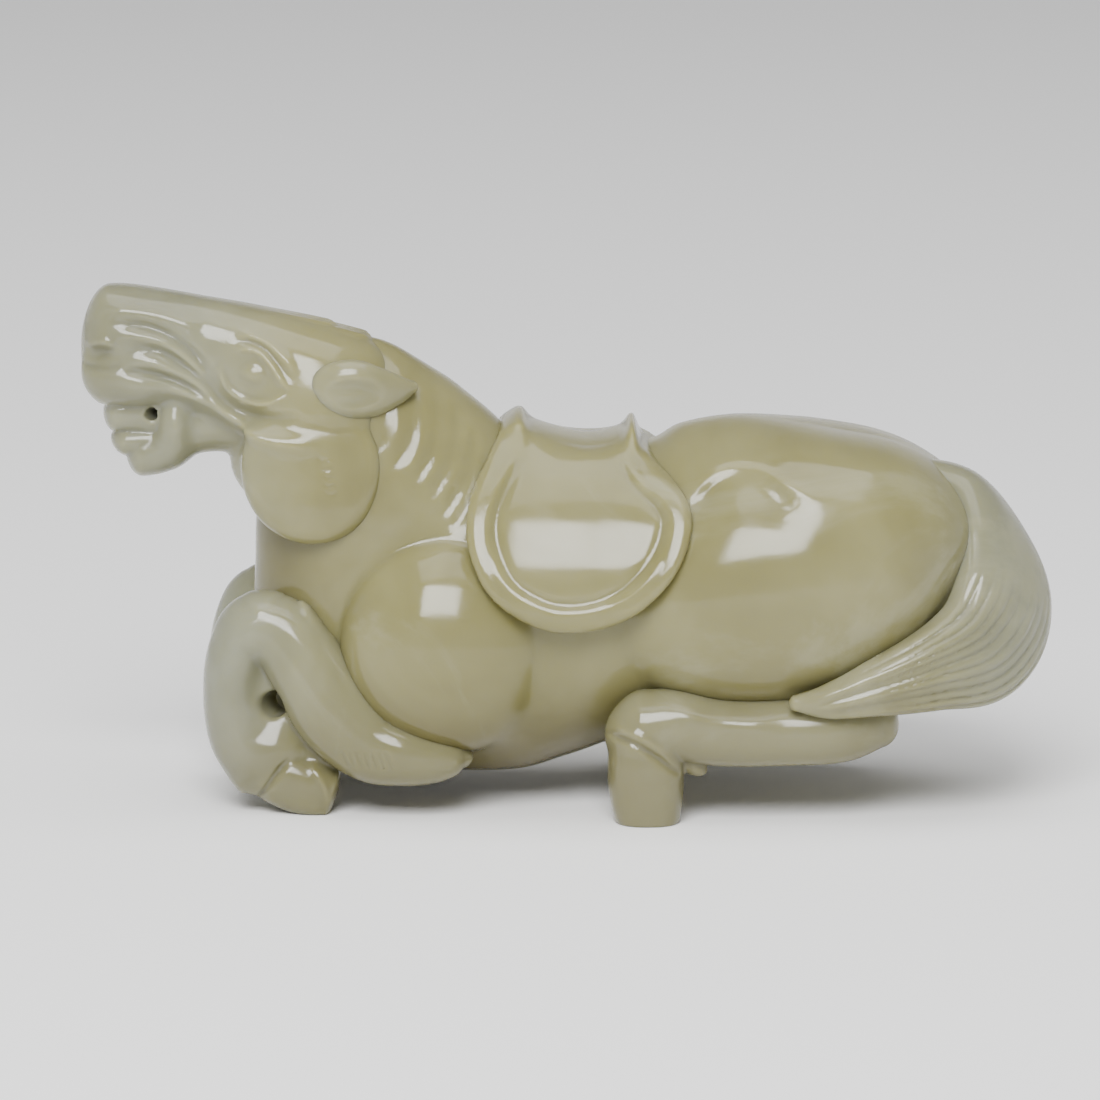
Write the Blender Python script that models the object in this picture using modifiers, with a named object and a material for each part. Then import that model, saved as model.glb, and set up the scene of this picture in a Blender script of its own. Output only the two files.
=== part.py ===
"""Recumbent saddled horse, carved from one pebble of pale nephrite.

The carving is one stone. It is divided here along its carved lines into named masses (torso, neck,
head, ears, saddle, tail and four folded legs), each a closed solid with a hairline parting between
neighbours. Head towards -X, the swept tail on the -Y side, +Z up, origin on the surface that the
hooves stand on, under the middle of the carving.
"""

import math

import bmesh
import bpy
from mathutils import Vector

# ---- Driving dimensions, in millimetres ----------------------------------------------------------
LENGTH = 107.0            # muzzle to tail
WIDTH = 41.0              # over the haunches
HEIGHT = 57.5             # soles to the top of the muzzle
PARTING = 0.3             # hairline between two neighbouring masses
SADDLE_LIFT = 1.8         # how far the saddle stands proud of the back, at the dip of its seat
GROOVE_RADIUS = 0.7       # wheel-cut lines of mane, tail, face and saddle rim
RIM_WIDTH = 2.0           # raised border of the saddle flap
DRILL_RADIUS = 1.5        # tube drill used in the bend of each foreleg
MOUTH_DRILL_RADIUS = 0.8  # tube drill used in the corner of the mouth
SOLE_LEVEL = 0.0          # the plane that the four soles are ground to
EAR_LENGTH = 10.4
EAR_STAND = 2.3           # how far an ear stands proud of the head
TAIL_THICKNESS = 3.4      # half thickness of the tail at its fullest

# The station tables below are drawn at this size, and stretched to the driving dimensions.
DRAWN_LENGTH, DRAWN_WIDTH, DRAWN_HEIGHT = 107.0, 41.0, 57.5
DRAWN_SADDLE_LIFT = 1.8
MILLIMETRE = 0.001
STRETCH = Vector((LENGTH / DRAWN_LENGTH, WIDTH / DRAWN_WIDTH, HEIGHT / DRAWN_HEIGHT))

SIDES = 10                # corners of a section's cage
LARGE_DOME = 8.5          # domes with a radius over this get a finer mesh
CUT_MARGIN = 20.0         # how far a cutter runs past what it cuts
NEAR, FAR = -1, 1         # sign of Y on the two flanks

# ---- Carved masses: x, y, z, half width across (Y), half depth in the XZ plane --------------------
# Sections square to X, chest to rump.
BARREL = [
    (-33.8, 0, 21.0, 3.5, 5.0),
    (-31.2, 0, 20.5, 8.0, 9.5),
    (-25.0, 0, 20.0, 12.6, 13.8),
    (-16.0, 0, 20.4, 15.0, 17.2),
    (-6.0, 0, 21.3, 15.8, 18.7),
    (2.0, 0, 22.7, 15.8, 17.2),
    (8.0, 0, 23.6, 15.6, 16.0),
    (12.0, 0, 25.1, 15.6, 17.2),
    (16.0, 0, 25.8, 15.6, 17.4),
    (22.0, 0, 26.0, 15.8, 17.3),
    (31.0, 0, 25.7, 15.4, 15.9),
    (39.0, 0, 25.4, 13.4, 13.8),
    (45.2, 0, 24.8, 9.8, 10.8),
    (49.4, 0, 24.0, 4.2, 5.0),
]
# Sections level with the ground, chest to poll.
NECK = [
    (-15.8, 0, 12.0, 7.0, 12.0),
    (-17.4, 0, 18.0, 10.6, 17.4),
    (-18.2, 0, 25.5, 11.8, 17.4),
    (-18.4, 0, 32.0, 11.0, 16.9),
    (-18.6, 0, 38.0, 9.4, 13.9),
    (-19.4, 0, 43.0, 7.8, 11.1),
    (-21.2, 0, 47.0, 6.2, 7.9),
    (-23.2, 0, 50.2, 4.4, 5.1),
    (-25.0, 0, 51.4, 2.4, 3.0),
]
# Skull, sections square to X, poll to muzzle. The jaw and tongue are square to their own paths.
HEAD = [
    (-18.4, 0, 43.4, 4.0, 3.0),
    (-21.0, 0, 44.2, 6.0, 5.8),
    (-25.0, 0, 45.2, 7.4, 7.3),
    (-30.0, 0, 46.4, 7.7, 7.5),
    (-35.0, 0, 47.7, 7.0, 7.5),
    (-40.0, 0, 49.0, 5.9, 7.3),
    (-45.0, 0, 50.1, 5.7, 7.1),
    (-49.6, 0, 50.7, 5.7, 6.9),
    (-52.2, 0, 50.4, 5.2, 6.3),
    (-54.0, 0, 50.0, 3.8, 4.6),
]
JAW = [
    (-27.0, 0, 41.4, 5.6, 4.4),
    (-33.0, 0, 42.4, 5.0, 4.6),
    (-38.5, 0, 42.0, 4.6, 3.6),
    (-43.0, 0, 39.8, 4.5, 3.1),
    (-46.2, 0, 38.8, 4.4, 3.1),
    (-48.6, 0, 38.6, 3.6, 2.4),
    (-49.6, 0, 38.6, 2.4, 1.4),
]
TONGUE = [
    (-38.0, 0, 43.6, 3.6, 2.4),
    (-44.0, 0, 43.2, 4.0, 2.9),
    (-48.6, 0, 42.4, 4.0, 2.9),
    (-51.2, 0, 42.0, 3.3, 2.2),
    (-52.2, 0, 41.9, 2.0, 1.2),
]
# Saddle: the back seen through the seat, with its pommel and cantle. Sections square to X.
SADDLE = [
    (-13.0, 0, 24.0, 17.2, 18.0),
    (-8.5, 0, 24.0, 18.0, 18.6),
    (-5.2, 0, 24.0, 18.4, 19.9),
    (-2.2, 0, 23.6, 18.8, 17.8),
    (2.0, 0, 23.4, 19.0, 17.2),
    (5.2, 0, 23.6, 19.2, 17.3),
    (7.0, 0, 23.8, 19.2, 19.3),
    (8.8, 0, 23.6, 19.4, 17.3),
    (12.0, 0, 24.0, 19.6, 18.0),
    (16.0, 0, 24.4, 19.6, 18.4),
]
# The saddle and its flap in side view, x and z, round from the pommel.
SADDLE_OUTLINE = [
    (-5.6, 47.0), (0.0, 47.0), (8.4, 47.0), (9.2, 43.5), (10.4, 40.7), (12.4, 38.2),
    (13.8, 34.4), (13.0, 30.0), (10.6, 26.3), (7.1, 23.5), (2.7, 22.0), (-1.2, 21.9),
    (-5.0, 23.2), (-8.3, 26.1), (-10.3, 29.6), (-10.8, 33.2), (-10.0, 36.8), (-8.6, 40.2),
    (-7.2, 43.0),
]
# Domed forms: centre x, y, z, radii, and tilt in degrees, rump up; y is for the far (+Y) flank.
HAUNCH = ((23.2, 10.4, 25.2), (19.4, 10.1, 13.2), 14.0)
SHOULDER = ((-13.5, 9.8, 18.4), (12.3, 8.6, 12.3), 0.0)
CHEEK = ((-28.1, 5.0, 38.1), (9.0, 5.0, 9.2), 0.0)
EYE = ((-33.0, 5.6, 48.2), (2.4, 2.2, 1.7), -10.0)
KNEE = ((-34.2, 8.5, 20.4), (4.2, 4.6, 3.8), 0.0)
FORELEG_WEB = ((-31.6, 8.4, 11.4), (5.6, 3.0, 8.2), -20.0)
# Folded legs, for the far (+Y) flank: x, y, z, half width across, half depth.
FOREARM = [
    (-11.2, 11.0, 7.8, 3.0, 3.0),
    (-14.0, 11.6, 7.8, 4.4, 4.4),
    (-20.5, 11.0, 8.4, 4.8, 5.2),
    (-26.5, 9.8, 11.2, 4.8, 5.4),
    (-30.4, 9.0, 16.2, 4.6, 4.3),
    (-33.0, 8.6, 20.0, 4.5, 3.9),
    (-34.8, 8.5, 21.8, 4.0, 2.8),
]
FORE_CANNON = [
    (-33.4, 8.5, 22.4, 3.4, 2.2),
    (-35.4, 8.5, 20.6, 4.4, 3.5),
    (-37.2, 8.4, 16.6, 4.3, 3.4),
    (-37.5, 8.4, 12.0, 4.1, 3.3),
    (-36.8, 8.4, 7.4, 4.0, 3.5),
    (-34.6, 8.4, 4.2, 3.8, 3.2),
]
FORE_HOOF = [
    (-37.2, 8.4, 4.8, 2.6, 2.4),
    (-34.6, 8.4, 4.7, 3.8, 3.1),
    (-30.6, 8.4, 3.7, 4.3, 3.3),
    (-27.2, 8.4, 2.5, 4.3, 3.2),
    (-25.8, 8.4, 1.9, 3.9, 2.8),
]
HIND_CANNON = [
    (34.4, 12.6, 11.2, 3.0, 3.0),
    (31.8, 13.6, 10.4, 4.4, 4.2),
    (26.0, 14.0, 9.9, 4.6, 3.9),
    (18.0, 14.2, 9.9, 4.6, 3.9),
    (12.0, 14.4, 10.8, 4.6, 4.0),
    (7.6, 14.4, 10.8, 4.4, 3.8),
    (5.6, 14.4, 10.2, 3.0, 2.4),
]
HIND_HOOF = [
    (8.8, 14.4, 12.6, 3.0, 2.6),
    (8.3, 14.4, 10.6, 4.4, 4.3),
    (8.2, 14.4, 7.0, 4.8, 4.8),
    (8.4, 14.4, 3.0, 4.8, 4.5),
    (8.7, 14.4, -1.0, 4.2, 3.6),
]
# Tail, from the croup round onto the near flank: x, y, z, half width, half thickness as a share of
# TAIL_THICKNESS, and the direction it faces, in degrees from +X towards -Y.
TAIL = [
    (38.6, -1.0, 36.0, 3.2, 0.62, 10.0),
    (44.0, -2.0, 33.8, 4.6, 0.90, 15.0),
    (47.8, -4.0, 29.0, 5.4, 1.00, 30.0),
    (49.2, -7.2, 23.0, 6.2, 1.00, 45.0),
    (46.6, -12.0, 18.0, 6.6, 1.00, 62.0),
    (39.4, -15.8, 16.7, 4.8, 0.92, 78.0),
    (32.0, -17.6, 15.4, 3.3, 0.80, 86.0),
    (25.0, -18.4, 14.8, 2.0, 0.55, 90.0),
]
# Ear, laid back along the poll, for the far (+Y) flank.
EAR_BASE = Vector((-28.0, 6.8, 46.3))
EAR_TIP_DIRECTION = Vector((1.0, -0.05, 0.10))
EAR_SHARES = [(0.0, 0.45), (0.14, 0.82), (0.38, 1.0), (0.64, 0.80), (0.86, 0.42), (1.0, 0.14)]
EAR_HALF_WIDTH = 3.2
# Tube-drilled openings: x and z of the foreleg's, and of the mouth's.
FORELEG_DRILL = (-31.6, 12.0)
MOUTH_DRILL = (-45.6, 43.9)


# Wheel-cut flutes of the mane: x and z at the crest, then on the side of the neck.
MANE_FLUTES = [
    [(-16.4, 46.4), (-18.6, 42.4), (-20.0, 38.6)],
    [(-14.0, 45.0), (-16.4, 40.4), (-18.4, 36.6)],
    [(-11.9, 43.0), (-14.0, 38.6), (-16.0, 34.6)],
    [(-10.0, 40.6), (-11.8, 36.8), (-13.2, 33.2)],
    [(-8.0, 38.4), (-9.4, 34.6), (-11.2, 31.4)],
]
# Flowing folds of the muzzle, from the nostril back under the eye.
FACE_FOLDS = [
    [(-51.6, 52.6), (-46.8, 53.0), (-42.4, 51.6), (-38.4, 48.4), (-34.6, 45.6)],
    [(-51.8, 50.0), (-47.4, 50.6), (-43.0, 49.6), (-39.0, 46.6), (-35.4, 43.8)],
    [(-51.6, 47.2), (-47.4, 48.2), (-43.4, 47.4), (-39.8, 44.8), (-36.6, 42.8)],
]
NOSTRIL = ((-52.0, 4.9, 49.6), (1.3, 1.1, 1.0), 0.0)
# Hair lines of the tail, as shares of its half width, from its third station on.
TAIL_HAIRS = [-0.66, -0.33, 0.0, 0.33, 0.66]
TAIL_HAIR_FROM = 2


# ---- Helpers -------------------------------------------------------------------------------------
def clear_scene():
    for obj in list(bpy.data.objects):
        bpy.data.objects.remove(obj)
    for collection in list(bpy.data.collections):
        bpy.data.collections.remove(collection)


def collection_named(name, hidden=False):
    collection = bpy.data.collections.new(name)
    bpy.context.scene.collection.children.link(collection)
    collection.hide_render = hidden
    return collection


def placed(x, y, z):
    """A drawn point, stretched to the driving dimensions, in metres."""
    return Vector((x * STRETCH.x, y * STRETCH.y, z * STRETCH.z)) * MILLIMETRE


def jade(name):
    material = bpy.data.materials.new(name)
    material.use_nodes = True
    shader = material.node_tree.nodes["Principled BSDF"]
    shader.inputs["Base Color"].default_value = (0.55, 0.56, 0.42, 1.0)
    shader.inputs["Roughness"].default_value = 0.14
    shader.inputs["Metallic"].default_value = 0.0
    material.diffuse_color = (0.55, 0.56, 0.42, 1.0)
    return material


def object_from(name, mesh_source):
    mesh = bpy.data.meshes.new(name)
    mesh_source.to_mesh(mesh)
    mesh_source.free()
    obj = bpy.data.objects.new(name, mesh)
    HELPERS.objects.link(obj)
    obj.hide_render = True
    obj.display_type = "WIRE"
    return obj


def smooth_cage(obj, levels):
    subdivide = obj.modifiers.new("soft form", "SUBSURF")
    subdivide.levels = levels
    subdivide.render_levels = levels
    return obj


def cage_gain(sides):
    """A closed cubic B-spline through a cage's corners runs inside them by this share."""
    return (4 + 2 * math.cos(math.tau / sides)) / 6


def loft(name, stations, grow=0.0, square_to=None, levels=1, boxy=2.0):
    """A carved mass: oval sections skinned along a path, its cage softened by subdivision.

    square_to fixes the sections' direction; without it they stand square to the path. grow moves
    the whole skin outwards, in millimetres. boxy above 2 squares the sections' corners.
    """
    centres = [placed(*station[:3]) for station in stations]
    mesh = bmesh.new()
    rings = []
    for index, station in enumerate(stations):
        before, after = centres[max(index - 1, 0)], centres[min(index + 1, len(centres) - 1)]
        along = Vector(square_to) if square_to else (after - before).normalized()
        across = Vector((0, 1, 0))
        if len(station) > 5:
            facing = math.radians(station[5])
            across = Vector((math.cos(facing), -math.sin(facing), 0))
        across = (across - across.dot(along) * along).normalized()
        deep = along.cross(across)
        width, depth = half_sizes(station, along, across, deep)
        ring = []
        for corner in range(SIDES):
            angle = math.tau * corner / SIDES
            c, s = math.cos(angle), math.sin(angle)
            reach = (abs(c) ** boxy + abs(s) ** boxy) ** (-1 / boxy) / cage_gain(SIDES)
            offset = across * (c * (width + grow)) + deep * (s * (depth + grow))
            ring.append(mesh.verts.new(centres[index] + offset * reach * MILLIMETRE))
        rings.append(ring)
    for first, second in zip(rings, rings[1:]):
        for corner in range(SIDES):
            after = (corner + 1) % SIDES
            mesh.faces.new((first[corner], first[after], second[after], second[corner]))
    mesh.faces.new(list(reversed(rings[0])))
    mesh.faces.new(rings[-1])
    bmesh.ops.recalc_face_normals(mesh, faces=mesh.faces)
    return smooth_cage(object_from(name, mesh), levels)


def tube(name, points, radius):
    """A round wire through points already in metres, for a wheel-cut line."""
    path = bpy.data.curves.new(name, "CURVE")
    path.dimensions = "3D"
    path.bevel_depth = radius * MILLIMETRE
    path.bevel_resolution = 1
    path.use_fill_caps = True
    path.resolution_u = 2
    spline = path.splines.new("NURBS")
    spline.points.add(len(points) - 1)
    for node, point in zip(spline.points, points):
        node.co = (*point, 1)
    spline.order_u = 3
    spline.use_endpoint_u = True
    curve = bpy.data.objects.new(f"{name} curve", path)
    HELPERS.objects.link(curve)
    return mesh_of(curve, name)


def flank_point(stations, x, z, side, level=False, boxy=2.0):
    """The point of a mass's flank with this x and z. level marks sections level with the ground."""
    place = 2 if level else 0
    here = z if level else x
    ordered = sorted(stations, key=lambda station: station[place])
    for low, high in zip(ordered, ordered[1:]):
        if low[place] <= here <= high[place]:
            break
    share = (here - low[place]) / (high[place] - low[place])
    cx, _, cz, wide, deep = [a + (b - a) * share for a, b in zip(low, high)]
    reach = min(abs((x - cx) if level else (z - cz)) / deep, 1.0)
    return placed(x, side * wide * (1 - reach ** boxy) ** (1 / boxy), z)


def half_sizes(station, along, across, deep):
    """A station's two half sizes, stretched as the directions they run in are."""
    if len(station) > 5:
        return TAIL_THICKNESS * station[4], station[3]
    stretched = [abs(direction.x) * STRETCH.x + abs(direction.y) * STRETCH.y
                 + abs(direction.z) * STRETCH.z for direction in (across, deep)]
    norms = [sum(abs(part) for part in direction) for direction in (across, deep)]
    return station[3] * stretched[0] / norms[0], station[4] * stretched[1] / norms[1]


def dome(name, form, side, grow=0.0):
    """An egg-shaped muscle on one flank."""
    (x, y, z), radii, tilt = form
    mesh = bmesh.new()
    rings = 12 if max(radii) > LARGE_DOME else 8
    bmesh.ops.create_uvsphere(mesh, u_segments=2 * rings - 2, v_segments=rings, radius=1.0)
    for vert in mesh.verts:
        vert.co = Vector((
            vert.co.x * (radii[0] * STRETCH.x + grow),
            vert.co.y * (radii[1] * STRETCH.y + grow),
            vert.co.z * (radii[2] * STRETCH.z + grow),
        )) * MILLIMETRE
    obj = object_from(name, mesh)
    obj.location = placed(x, y * side, z)
    obj.rotation_euler = (0, -math.radians(tilt), 0)
    return obj


def combine(obj, other, operation):
    boolean = obj.modifiers.new(f"{operation.lower()} {other.name}", "BOOLEAN")
    boolean.operation = operation
    boolean.object = other
    boolean.solver = "EXACT"
    return obj


def join(obj, *others):
    for other in others:
        combine(obj, other, "UNION")
    return obj


def cut(obj, *others):
    for other in others:
        combine(obj, other, "DIFFERENCE")
    return obj


def mirrored_path(stations, side):
    """A far-flank path on either flank."""
    return [(x, y * side, z, *sizes) for x, y, z, *sizes in stations]


def solid(obj, name):
    """Makes a helper a shown, named mass of the carving."""
    HELPERS.objects.unlink(obj)
    CARVING.objects.link(obj)
    obj.name = name
    obj.hide_render = False
    obj.display_type = "TEXTURED"
    obj.data.materials.append(jade(f"jade {name}"))
    obj.data.shade_smooth()
    obj.data.set_sharp_from_angle(angle=math.radians(40))
    return obj


def drill(name, x, z, radius):
    """A rod right across the carving, for a tube-drilled opening."""
    bpy.ops.mesh.primitive_cylinder_add(
        vertices=16, radius=radius * MILLIMETRE,
        depth=(WIDTH + 2 * CUT_MARGIN) * MILLIMETRE, rotation=(math.pi / 2, 0, 0),
    )
    rod = bpy.context.object
    rod.name = name
    rod.location = placed(x, 0, z)
    return hide_helper(rod)


def ground_block():
    """Everything below the soles."""
    bpy.ops.mesh.primitive_cube_add(size=1.0)
    block = bpy.context.object
    block.name = "ground"
    size = Vector((LENGTH + CUT_MARGIN, WIDTH + CUT_MARGIN, CUT_MARGIN)) * MILLIMETRE
    for vert in block.data.vertices:
        vert.co = Vector((vert.co.x * size.x, vert.co.y * size.y, vert.co.z * size.z))
    block.location = (0, 0, SOLE_LEVEL * MILLIMETRE - size.z / 2)
    return hide_helper(block)


def hide_helper(obj):
    for owner in list(obj.users_collection):
        owner.objects.unlink(obj)
    HELPERS.objects.link(obj)
    obj.hide_render = True
    obj.display_type = "WIRE"
    return obj


# ---- Carved masses -------------------------------------------------------------------------------
def body_form(label, grow=0.0):
    """Barrel with its haunches and shoulders."""
    form = loft(f"barrel {label}", BARREL, grow, square_to=(1, 0, 0))
    domes = [dome(f"{muscle} {side} {label}", shape, side, grow)
             for muscle, shape in (("haunch", HAUNCH), ("shoulder", SHOULDER))
             for side in (NEAR, FAR)]
    return join(form, *domes)


def neck_form(label, grow=0.0):
    return loft(f"neck {label}", NECK, grow, square_to=(0, 0, 1))


def head_form(label, grow=0.0):
    """Skull and muzzle with the jaw, tongue, two round cheeks and the eyes."""
    form = loft(f"skull {label}", HEAD, grow, square_to=(1, 0, 0))
    jaw = loft(f"jaw {label}", JAW, grow)
    tongue = loft(f"tongue {label}", TONGUE, grow)
    domes = [dome(f"{feature} {side} {label}", shape, side, grow)
             for feature, shape in (("cheek", CHEEK), ("eye", EYE))
             for side in (NEAR, FAR)]
    return join(form, jaw, tongue, *domes)


def ear(name, side, clearance):
    """A leaf-shaped ear, laid back against the poll."""
    path = []
    for share, fullness in EAR_SHARES:
        point = EAR_BASE + EAR_TIP_DIRECTION * (EAR_LENGTH * share)
        path.append((point.x, point.y * side, point.z, EAR_STAND * fullness,
                     EAR_HALF_WIDTH * fullness))
    form = loft(f"{name} form", path)
    return solid(cut(form, *clearance), name)


def saddle(clearance):
    """The seat, pommel, cantle and round flaps: a shell over the back, cut to the side outline."""
    form = loft("saddle form", SADDLE, SADDLE_LIFT - DRAWN_SADDLE_LIFT, square_to=(1, 0, 0), boxy=2.3)
    combine(form, saddle_prism(), "INTERSECT")
    return solid(cut(form, *clearance, rim_groove(NEAR), rim_groove(FAR)), "saddle")


def rim_groove(side):
    """The line cut inside the flap's raised border."""
    middle = Vector((1.5, 0, 33.0))
    points = []
    for x, z in SADDLE_OUTLINE[4:-3]:
        inward = (middle - Vector((x, 0, z))).normalized() * RIM_WIDTH
        points.append(flank_point(SADDLE, x + inward.x, z + inward.z, side, boxy=2.3))
    return tube(f"rim groove {side}", points, GROOVE_RADIUS)


def mane_flutes(side):
    return [tube(f"mane flute {index} {side}",
                 [flank_point(NECK, x, z, side, level=True) for x, z in flute], GROOVE_RADIUS)
            for index, flute in enumerate(MANE_FLUTES)]


def face_folds(side):
    return [tube(f"face fold {index} {side}",
                 [flank_point(HEAD, x, z, side) for x, z in fold], GROOVE_RADIUS)
            for index, fold in enumerate(FACE_FOLDS)]


def tail_hairs():
    """Hair lines fanned over the outer face of the tail."""
    hairs = []
    for index, share in enumerate(TAIL_HAIRS):
        points = []
        for x, y, z, wide, thick, facing in TAIL[TAIL_HAIR_FROM:]:
            outward = Vector((math.cos(math.radians(facing)), -math.sin(math.radians(facing)), 0))
            path = Vector((x, y, z))
            points.append(path + outward * TAIL_THICKNESS * thick * math.sqrt(1 - share ** 2))
            points[-1] += tail_across(len(points) - 1 + TAIL_HAIR_FROM) * wide * share
        hairs.append(tube(f"tail hair {index}", [placed(*point) for point in points],
                          GROOVE_RADIUS * 0.7))
    return hairs


def tail_across(index):
    """The direction across the tail's width at a station."""
    before = Vector(TAIL[max(index - 1, 0)][:3])
    after = Vector(TAIL[min(index + 1, len(TAIL) - 1)][:3])
    facing = math.radians(TAIL[index][5])
    along = (after - before).normalized()
    outward = Vector((math.cos(facing), -math.sin(facing), 0))
    outward = (outward - outward.dot(along) * along).normalized()
    return along.cross(outward)


def saddle_prism():
    outline = bpy.data.curves.new("saddle outline", "CURVE")
    outline.dimensions = "2D"
    outline.fill_mode = "BOTH"
    outline.extrude = (WIDTH / 2 + CUT_MARGIN) * MILLIMETRE
    outline.resolution_u = 3
    spline = outline.splines.new("NURBS")
    spline.points.add(len(SADDLE_OUTLINE) - 1)
    for point, (x, z) in zip(spline.points, SADDLE_OUTLINE):
        at = placed(x, 0, z)
        point.co = (at.x, at.z, 0, 1)
    spline.order_u = 3
    spline.use_cyclic_u = True
    curve = bpy.data.objects.new("saddle prism curve", outline)
    HELPERS.objects.link(curve)
    curve.rotation_euler = (math.pi / 2, 0, 0)
    return mesh_of(curve, "saddle prism")


def mesh_of(curve, name):
    """A curve object made a welded mesh, for a Boolean."""
    bpy.context.view_layer.update()
    graph = bpy.context.evaluated_depsgraph_get()
    made = bpy.data.meshes.new_from_object(curve.evaluated_get(graph))
    mesh = bmesh.new()
    mesh.from_mesh(made)
    bmesh.ops.remove_doubles(mesh, verts=mesh.verts, dist=1e-6)
    bmesh.ops.recalc_face_normals(mesh, faces=mesh.faces)
    obj = object_from(name, mesh)
    obj.matrix_world = curve.matrix_world.copy()
    bpy.data.objects.remove(curve)
    return obj


def leg(name, bones, hoof, side, fillings, cutters):
    """A folded leg with its hoof, ground flat underneath."""
    limb = [loft(f"{name} limb {index}", mirrored_path(bone, side))
            for index, bone in enumerate(bones)]
    foot = loft(f"{name} hoof", mirrored_path(hoof, side), boxy=2.6)
    return solid(cut(join(*limb, foot, *fillings), *cutters), name)


def tail_form(label, grow=0.0):
    return loft(f"tail {label}", TAIL, grow)


def centre_on_soles(collection):
    """Moves the whole carving so that the origin is under the middle of its box."""
    bpy.context.view_layer.update()
    graph = bpy.context.evaluated_depsgraph_get()
    corners = []
    for obj in collection.objects:
        shown = obj.evaluated_get(graph)
        corners += [shown.matrix_world @ vert.co for vert in shown.data.vertices]
    low = Vector([min(corner[axis] for corner in corners) for axis in range(3)])
    high = Vector([max(corner[axis] for corner in corners) for axis in range(3)])
    shift = Vector(((low.x + high.x) / -2, (low.y + high.y) / -2, -low.z))
    for obj in bpy.data.objects:
        if obj.parent is None:
            obj.location += shift


# ---- The carving ---------------------------------------------------------------------------------
clear_scene()
CARVING = collection_named("jade_figurine")
HELPERS = collection_named("cutters", hidden=True)

ground = ground_block()
body_clear = body_form("clearance", PARTING)
neck_clear = neck_form("clearance", PARTING)
head_clear = head_form("clearance", PARTING)
tail_clear = tail_form("clearance", PARTING)
foreleg_drill = drill("foreleg drill", *FORELEG_DRILL, DRILL_RADIUS)
mouth_drill = drill("mouth drill", *MOUTH_DRILL, MOUTH_DRILL_RADIUS)

solid(body_form("form"), "torso")
solid(cut(neck_form("form"), body_clear, *mane_flutes(NEAR), *mane_flutes(FAR)), "neck")
nostrils = [dome(f"nostril {side}", NOSTRIL, side) for side in (NEAR, FAR)]
solid(cut(head_form("form"), neck_clear, mouth_drill, *nostrils,
          *face_folds(NEAR), *face_folds(FAR)), "head")
solid(cut(tail_form("form"), body_clear, *tail_hairs()), "tail")
saddle([body_clear, neck_clear])
for side, flank in ((NEAR, "left"), (FAR, "right")):
    ear(f"{flank}_ear", side, [neck_clear, head_clear])
    knee = dome(f"{flank} knee", KNEE, side)
    web = dome(f"{flank} foreleg web", FORELEG_WEB, side)
    leg(f"{flank}_foreleg", [FOREARM, FORE_CANNON], FORE_HOOF, side, [knee, web],
        [body_clear, neck_clear, foreleg_drill, ground])
    leg(f"{flank}_hind_leg", [HIND_CANNON], HIND_HOOF, side, [],
        [body_clear, tail_clear, ground])

centre_on_soles(CARVING)
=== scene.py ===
"""Recumbent saddled horse carved from pale nephrite, with a soft studio light and a pale floor.

Each carved mass is an implicit form: a field that is negative inside the stone, built from eggs,
lofts and sweeps that are blended, carved and grooved, and then skinned with a fine mesh. Sizes are
in millimetres, in the frame of the CAD model: head towards -X, tail on the -Y flank, +Z up.
"""

import math

import bpy
import numpy as np
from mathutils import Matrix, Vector


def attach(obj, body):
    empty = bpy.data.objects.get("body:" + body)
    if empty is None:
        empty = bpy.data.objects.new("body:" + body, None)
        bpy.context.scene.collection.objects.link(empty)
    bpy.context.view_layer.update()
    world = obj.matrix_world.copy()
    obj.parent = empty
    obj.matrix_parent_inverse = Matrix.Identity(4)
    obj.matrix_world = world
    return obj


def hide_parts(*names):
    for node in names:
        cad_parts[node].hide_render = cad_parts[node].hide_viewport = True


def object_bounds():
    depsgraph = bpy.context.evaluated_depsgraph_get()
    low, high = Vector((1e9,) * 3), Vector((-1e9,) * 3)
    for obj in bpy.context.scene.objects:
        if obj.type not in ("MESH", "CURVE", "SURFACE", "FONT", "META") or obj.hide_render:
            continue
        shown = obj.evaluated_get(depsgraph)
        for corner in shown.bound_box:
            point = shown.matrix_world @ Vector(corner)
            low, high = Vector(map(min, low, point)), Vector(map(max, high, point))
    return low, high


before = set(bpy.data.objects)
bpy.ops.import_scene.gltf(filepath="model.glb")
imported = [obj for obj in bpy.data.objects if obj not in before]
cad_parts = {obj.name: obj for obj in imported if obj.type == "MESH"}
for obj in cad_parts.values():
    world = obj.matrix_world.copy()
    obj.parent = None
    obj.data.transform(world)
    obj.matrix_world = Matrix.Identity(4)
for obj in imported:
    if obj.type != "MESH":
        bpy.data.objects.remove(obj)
CAD_LOW, CAD_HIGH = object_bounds()

# The size that the forms below are drawn at, and the CAD model's size, which they are fitted to.
DRAWN = Vector((106.7, 41.0, 57.4))
FIT = np.array([(high - low) * 1000 / size
                for low, high, size in zip(CAD_LOW, CAD_HIGH, DRAWN)])
COARSE = 1.0
# Spacing of the mesh on each kind of piece, in millimetres.
PITCH = {"body": 0.42, "head": 0.26, "saddle": 0.32, "tail": 0.22, "leg": 0.28, "ear": 0.22}
# Points that a path's distances are worked out for at once, to keep the memory small.
BATCH = 20000


# ---- Fields: blending and profiles ----------------------------------------------------------------
def unite(a, b, softness=0.4):
    """Union with a fillet of this softness."""
    share = np.clip(0.5 + 0.5 * (b - a) / softness, 0, 1)
    return b + (a - b) * share - softness * share * (1 - share)


def overlap(a, b, softness=0.4):
    """What a and b share, with a rounded edge."""
    return -unite(-a, -b, softness)


def carve(a, b, softness=0.4):
    """a with b taken away."""
    return -unite(-a, b, softness)


def ramp(value, start, end):
    """0 before start, 1 after end, smooth between."""
    share = np.clip((value - start) / (end - start), 0, 1)
    return share * share * (3 - 2 * share)


def window(value, start, full_from, full_to, end):
    """1 between full_from and full_to, fading to 0 at start and end."""
    return ramp(value, start, full_from) * (1 - ramp(value, full_to, end))


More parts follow.
